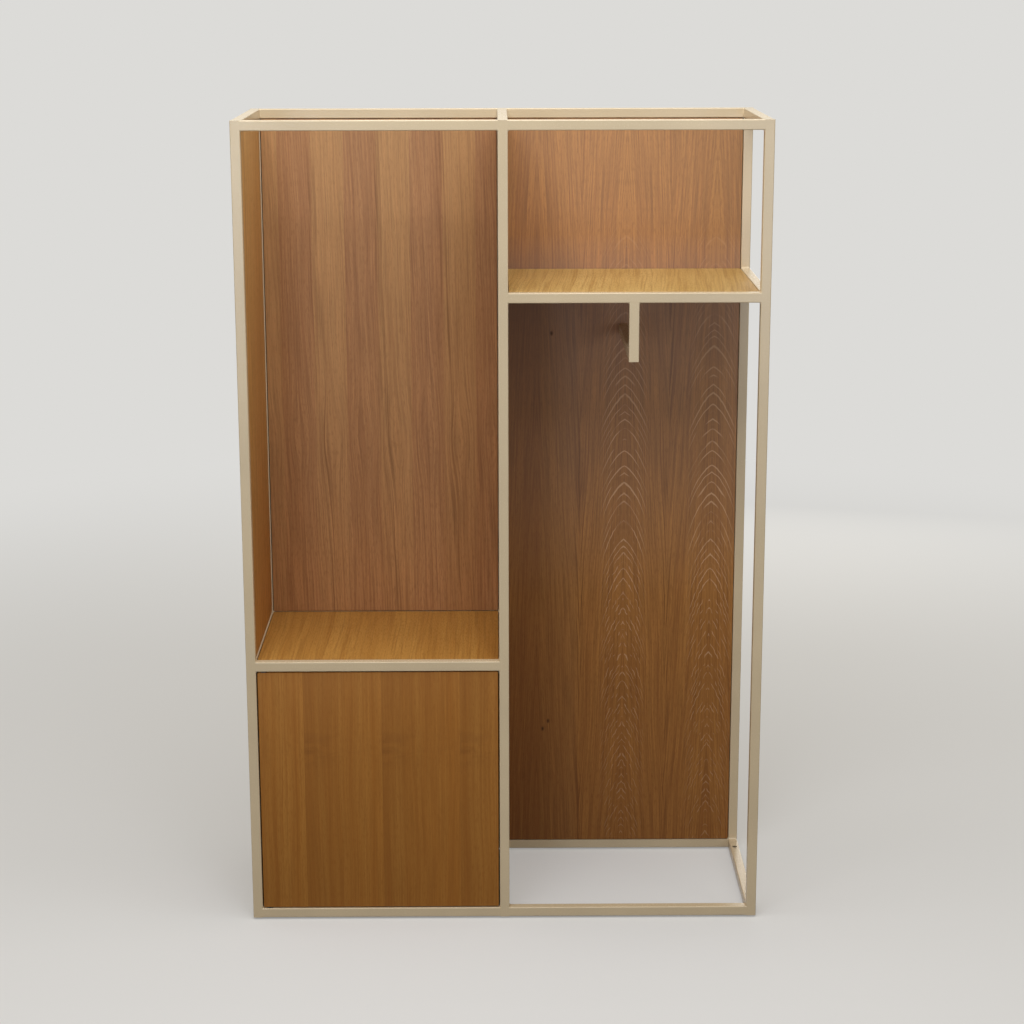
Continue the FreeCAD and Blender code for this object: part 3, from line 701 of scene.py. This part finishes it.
for node, finish in (
    ("niche_back_panel", niche_oak),
    ("cabinet_back_panel", niche_oak),
    ("right_back_panel", right_oak),
    ("side_panel_upper", side_oak),
    ("side_panel_lower", side_oak),
    ("divider_lower", side_oak),
    ("divider_middle", side_oak),
    ("divider_upper", side_oak),
    ("cabinet_floor", seat_oak),
    ("seat_panel", seat_oak),
    ("shelf_panel", shelf_oak),
):
    board(node, "frame", finish)
board("door_panel", "door", door_oak)

# The other CAD nodes keep their shape and get their finish. The names of the feet and of their
# nuts start alike.
STEEL_NODES = ("hanger_plug", "hanger_bolt", "pivot_pin_bottom", "pivot_pin_top", "latch_strike")
NYLON_NODES = ("pivot_bush_bottom", "pivot_bush_top", "latch_housing", "latch_plunger")
for name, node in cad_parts.items():
    if name in NYLON_NODES:
        finish = nylon
    elif name in STEEL_NODES or name.startswith("foot_"):
        finish = zinc
    else:
        finish = cream
    node.data.materials.clear()
    node.data.materials.append(finish)


def set_out(pattern, spots, name, finish):
    """Copies a pattern to its places on the frame and joins the copies.

    Each place comes with the ways of the copy's X and Z axes."""
    copies = []
    for corner, one, two in spots:
        bpy.ops.object.select_all(action="DESELECT")
        pattern.select_set(True)
        bpy.context.view_layer.objects.active = pattern
        bpy.ops.object.duplicate(linked=False)
        copy = bpy.context.object
        turn = Matrix((one, two.cross(one), two)).transposed().to_4x4()
        copy.matrix_world = Matrix.Translation(corner) @ turn
        copies.append(copy)
    bpy.ops.object.select_all(action="DESELECT")
    for copy in copies:
        copy.select_set(True)
    bpy.context.view_layer.objects.active = copies[0]
    bpy.ops.object.join()
    settle(copies[0], name, "frame", finish)
    bpy.data.objects.remove(pattern)


# Dressed welds leave a small hollow of coat in every inner corner of the frame. The hollow takes
# nearly the whole side of the fillet.
FILLET, FILLET_LENGTH = 0.003, 0.016
HOLLOW, HOLLOW_PROFILE = FILLET * 0.97, 0.12

bpy.ops.object.select_all(action="DESELECT")
bpy.ops.mesh.primitive_cube_add(
    size=1, location=(FILLET / 2, 0, FILLET / 2), scale=(FILLET, FILLET_LENGTH, FILLET)
)
fillet = bpy.context.object
bpy.ops.object.transform_apply(location=True, rotation=True, scale=True)
pick(fillet, "EDGE", lambda edge: all(min(v.co.x, v.co.z) > FILLET / 2 for v in edge.verts))
bpy.ops.mesh.bevel(offset=HOLLOW, segments=5, profile=HOLLOW_PROFILE, affect="EDGES")
bpy.ops.object.mode_set(mode="OBJECT")

X, Y, Z = Vector((1, 0, 0)), Vector((0, 1, 0)), Vector((0, 0, 1))


def opening(middle, first, width, second, height):
    """The four corners of a frame opening in one middle plane, each with its two ways inwards."""
    return [
        (middle + first * one + second * two, way_one, way_two)
        for one, way_one in zip(width, (first, -first))
        for two, way_two in zip(height, (second, -second))
    ]


# The middle planes of the frame's tubes.
LEFT, MIDDLE, RIGHT = -0.52, 0.0, 0.52
FRONT, REAR = -0.19, 0.19
BOTTOM, SEAT, SHELF, TOP = 0.014, 0.556, 1.316, 1.654
# The clear widths, depth and heights between the tubes.
LEFT_BAY, RIGHT_BAY, BAY_DEPTH = (-0.51, -0.01), (0.01, 0.51), (-0.18, 0.18)
CABINET, NICHE, DIVIDER = (0.024, 0.546), (0.566, 1.644), (0.566, 1.306)
HANGING, UPPER, FULL = (0.024, 1.306), (1.326, 1.644), (0.024, 1.644)
# The two sides of the hanger's drop, and the middle and the top of its bar.
DROP, BAR, BAR_TOP = (0.25, 0.27), 0.26, 1.208

corners = []
for y, right_heights in ((FRONT, (HANGING, UPPER)), (REAR, (FULL,))):
    for bay, heights in ((LEFT_BAY, (CABINET, NICHE)), (RIGHT_BAY, right_heights)):
        for height in heights:
            corners += opening(Y * y, X, bay, Z, height)
for x, heights in (
    (LEFT, (CABINET, NICHE)),
    (MIDDLE, (CABINET, DIVIDER, UPPER)),
    (RIGHT, (HANGING, UPPER)),
):
    for height in heights:
        corners += opening(X * x, Y, BAY_DEPTH, Z, height)
for z, bays in (
    (BOTTOM, (LEFT_BAY, RIGHT_BAY)),
    (SEAT, (LEFT_BAY,)),
    (TOP, (LEFT_BAY, RIGHT_BAY)),
):
    for bay in bays:
        corners += opening(Z * z, X, bay, Y, BAY_DEPTH)
corners += [
    (Vector((RIGHT_BAY[0], BAY_DEPTH[0], SHELF)), X, Y),
    (Vector((RIGHT_BAY[1], BAY_DEPTH[0], SHELF)), -X, Y),
    (Vector((DROP[0], FRONT, HANGING[1])), -X, -Z),
    (Vector((DROP[1], FRONT, HANGING[1])), X, -Z),
    (Vector((BAR, BAY_DEPTH[0], BAR_TOP)), Y, Z),
]
set_out(fillet, corners, "weld_fillets", cream)

# Screws hold the panels to their strips. Each has a low round head with a round socket.
HEAD_RADIUS, HEAD_HEIGHT, HEAD_EASING = 0.004, 0.0006, 0.0003
RIM, CROWN, SOCKET_DEPTH = 0.0006, 0.0014, 0.0005

bpy.ops.object.select_all(action="DESELECT")
bpy.ops.mesh.primitive_cylinder_add(
    vertices=24, radius=HEAD_RADIUS, depth=HEAD_HEIGHT, location=(0, 0, HEAD_HEIGHT / 2)
)
screw = bpy.context.object
bpy.ops.object.transform_apply(location=True, rotation=True, scale=True)
pick(screw, "FACE", lambda face: face.normal.z > 0.9)
bpy.ops.mesh.inset(thickness=RIM)
bpy.ops.mesh.inset(thickness=CROWN)
bpy.ops.mesh.extrude_region_move(TRANSFORM_OT_translate={"value": (0, 0, -SOCKET_DEPTH)})
pick(
    screw,
    "EDGE",
    lambda edge: all(
        v.co.z > HEAD_HEIGHT / 2 and v.co.xy.length > HEAD_RADIUS - RIM / 2 for v in edge.verts
    ),
)
bpy.ops.mesh.bevel(offset=HEAD_EASING, segments=2, affect="EDGES")
bpy.ops.object.mode_set(mode="OBJECT")

# The heads stand in from the long edges of a strip and from its ends. Tall strips have a pair at
# their middle too, and the niche's back has one at the middle of each end.
FROM_EDGE, FROM_END = 0.009, 0.063
NICHE_MIDDLE, RIGHT_MIDDLE, BAY_MIDDLE = 0.539, 0.81, 0.25
heads = []
for node, out, between, ends in (
    ("niche_back_panel_strip", Y, (NICHE_MIDDLE,), (BAY_MIDDLE,)),
    ("cabinet_back_panel_strip", Y, (), ()),
    ("right_back_panel_strip", Y, (RIGHT_MIDDLE,), ()),
    ("side_panel_upper_strip", -X, (NICHE_MIDDLE,), ()),
    ("side_panel_lower_strip", -X, (), ()),
    ("divider_lower_strip", -X, (), ()),
    ("divider_middle_strip", X, (), ()),
    ("divider_upper_strip", X, (), ()),
):
    low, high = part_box(node)
    face = high if sum(out) > 0 else low
    level = X if out.x == 0 else Y
    start, end = low.dot(level), high.dot(level)
    spots = [
        (side, low.z + rise)
        for rise in sorted((FROM_END, *between, high.z - low.z - FROM_END))
        for side in (start + FROM_EDGE, end - FROM_EDGE)
    ]
    for across in ends:
        spots += [(start + across, low.z + FROM_EDGE), (start + across, high.z - FROM_EDGE)]
    heads += [(out * face.dot(out) + level * side + Z * z, level, out) for side, z in spots]

# Under the level panels the heads are on the narrow strips along both sides.
LEDGE_MIDDLE, LEDGE_REACH, STRIP = 0.0075, 0.117, 0.002
for node in ("cabinet_floor", "seat_panel", "shelf_panel"):
    low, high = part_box(node)
    for x in (low.x + LEDGE_MIDDLE, high.x - LEDGE_MIDDLE):
        for y in (-LEDGE_REACH, LEDGE_REACH):
            heads.append((Vector((x, y, low.z - STRIP)), X, -Z))
set_out(screw, heads, "panel_screws", zinc)
